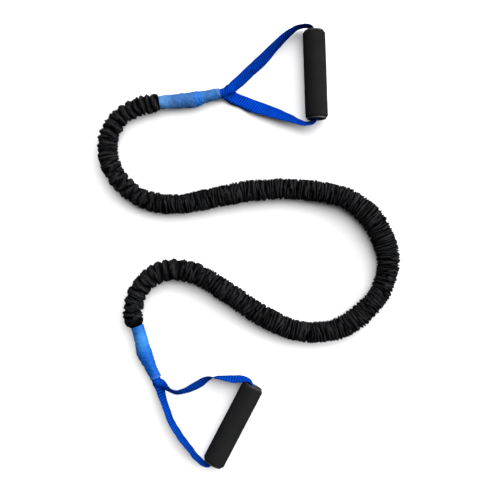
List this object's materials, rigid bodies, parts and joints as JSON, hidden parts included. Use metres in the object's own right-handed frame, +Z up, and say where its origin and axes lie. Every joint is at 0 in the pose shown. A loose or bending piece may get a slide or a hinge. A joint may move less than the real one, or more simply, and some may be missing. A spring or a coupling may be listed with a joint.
{
  "type": "resistance tube with handles",
  "caption": "Elastic exercise tube in a gathered cloth sleeve, lying in an S, with a foam grip on a webbing loop at each end, hinged at a soft rubber cuff.",
  "frame": {"origin": "on the floor, under the middle of the box round the cuffs and handles", "axes": "+Z up from the floor, +Y along the long way of the S towards the upper handle, +X to the right seen from above"},
  "size_m": [0.4131, 0.6065, 0.0324],
  "materials": {
    "latex": "satin latex",
    "sleeve_cloth": "gathered nylon cloth",
    "cuff_rubber": "satin, slightly translucent",
    "webbing": "ribbed woven webbing",
    "binding_thread": "wound thread",
    "grip_foam": "matte closed-cell foam",
    "core_plastic": "smooth",
    "plug_plastic": "smooth"
  },
  "bodies": {
    "tube": {"latex_tube": "latex", "gathered_sleeve": "sleeve_cloth", "upper_cuff": "cuff_rubber", "upper_tube_plug": "plug_plastic", "upper_tail_binding": "binding_thread", "upper_sleeve_binding": "binding_thread", "upper_top_tail": "webbing", "upper_bottom_tail": "webbing", "lower_cuff": "cuff_rubber", "lower_tube_plug": "plug_plastic", "lower_tail_binding": "binding_thread", "lower_sleeve_binding": "binding_thread", "lower_top_tail": "webbing", "lower_bottom_tail": "webbing"},
    "upper_strap": {"upper_webbing_loop": "webbing"},
    "upper_grip": {"upper_grip_foam": "grip_foam", "upper_grip_core": "core_plastic"},
    "lower_strap": {"lower_webbing_loop": "webbing"},
    "lower_grip": {"lower_grip_foam": "grip_foam", "lower_grip_core": "core_plastic"}
  },
  "joints": [
    {"name": "upper_handle_lift", "type": "hinge", "parent": "tube", "child": "upper_strap", "pos_m": [-0.01058, 0.2119, 0.01651], "axis": [0.225, -0.9744, 0], "range_deg": [0, 120]},
    {"name": "upper_grip_spin", "type": "hinge", "parent": "upper_strap", "child": "upper_grip", "pos_m": [0.1183, 0.2356, 0.01543], "axis": [-0.0332, 0.9995, 0], "continuous": true},
    {"name": "lower_handle_lift", "type": "hinge", "parent": "tube", "child": "lower_strap", "pos_m": [-0.09984, -0.18244, 0.01652], "axis": [-0.9274, -0.3742, 0], "range_deg": [0, 120]},
    {"name": "lower_grip_spin", "type": "hinge", "parent": "lower_strap", "child": "lower_grip", "pos_m": [0.0058, -0.2428, 0.01543], "axis": [0.4625, 0.8866, 0], "continuous": true}
  ]
}
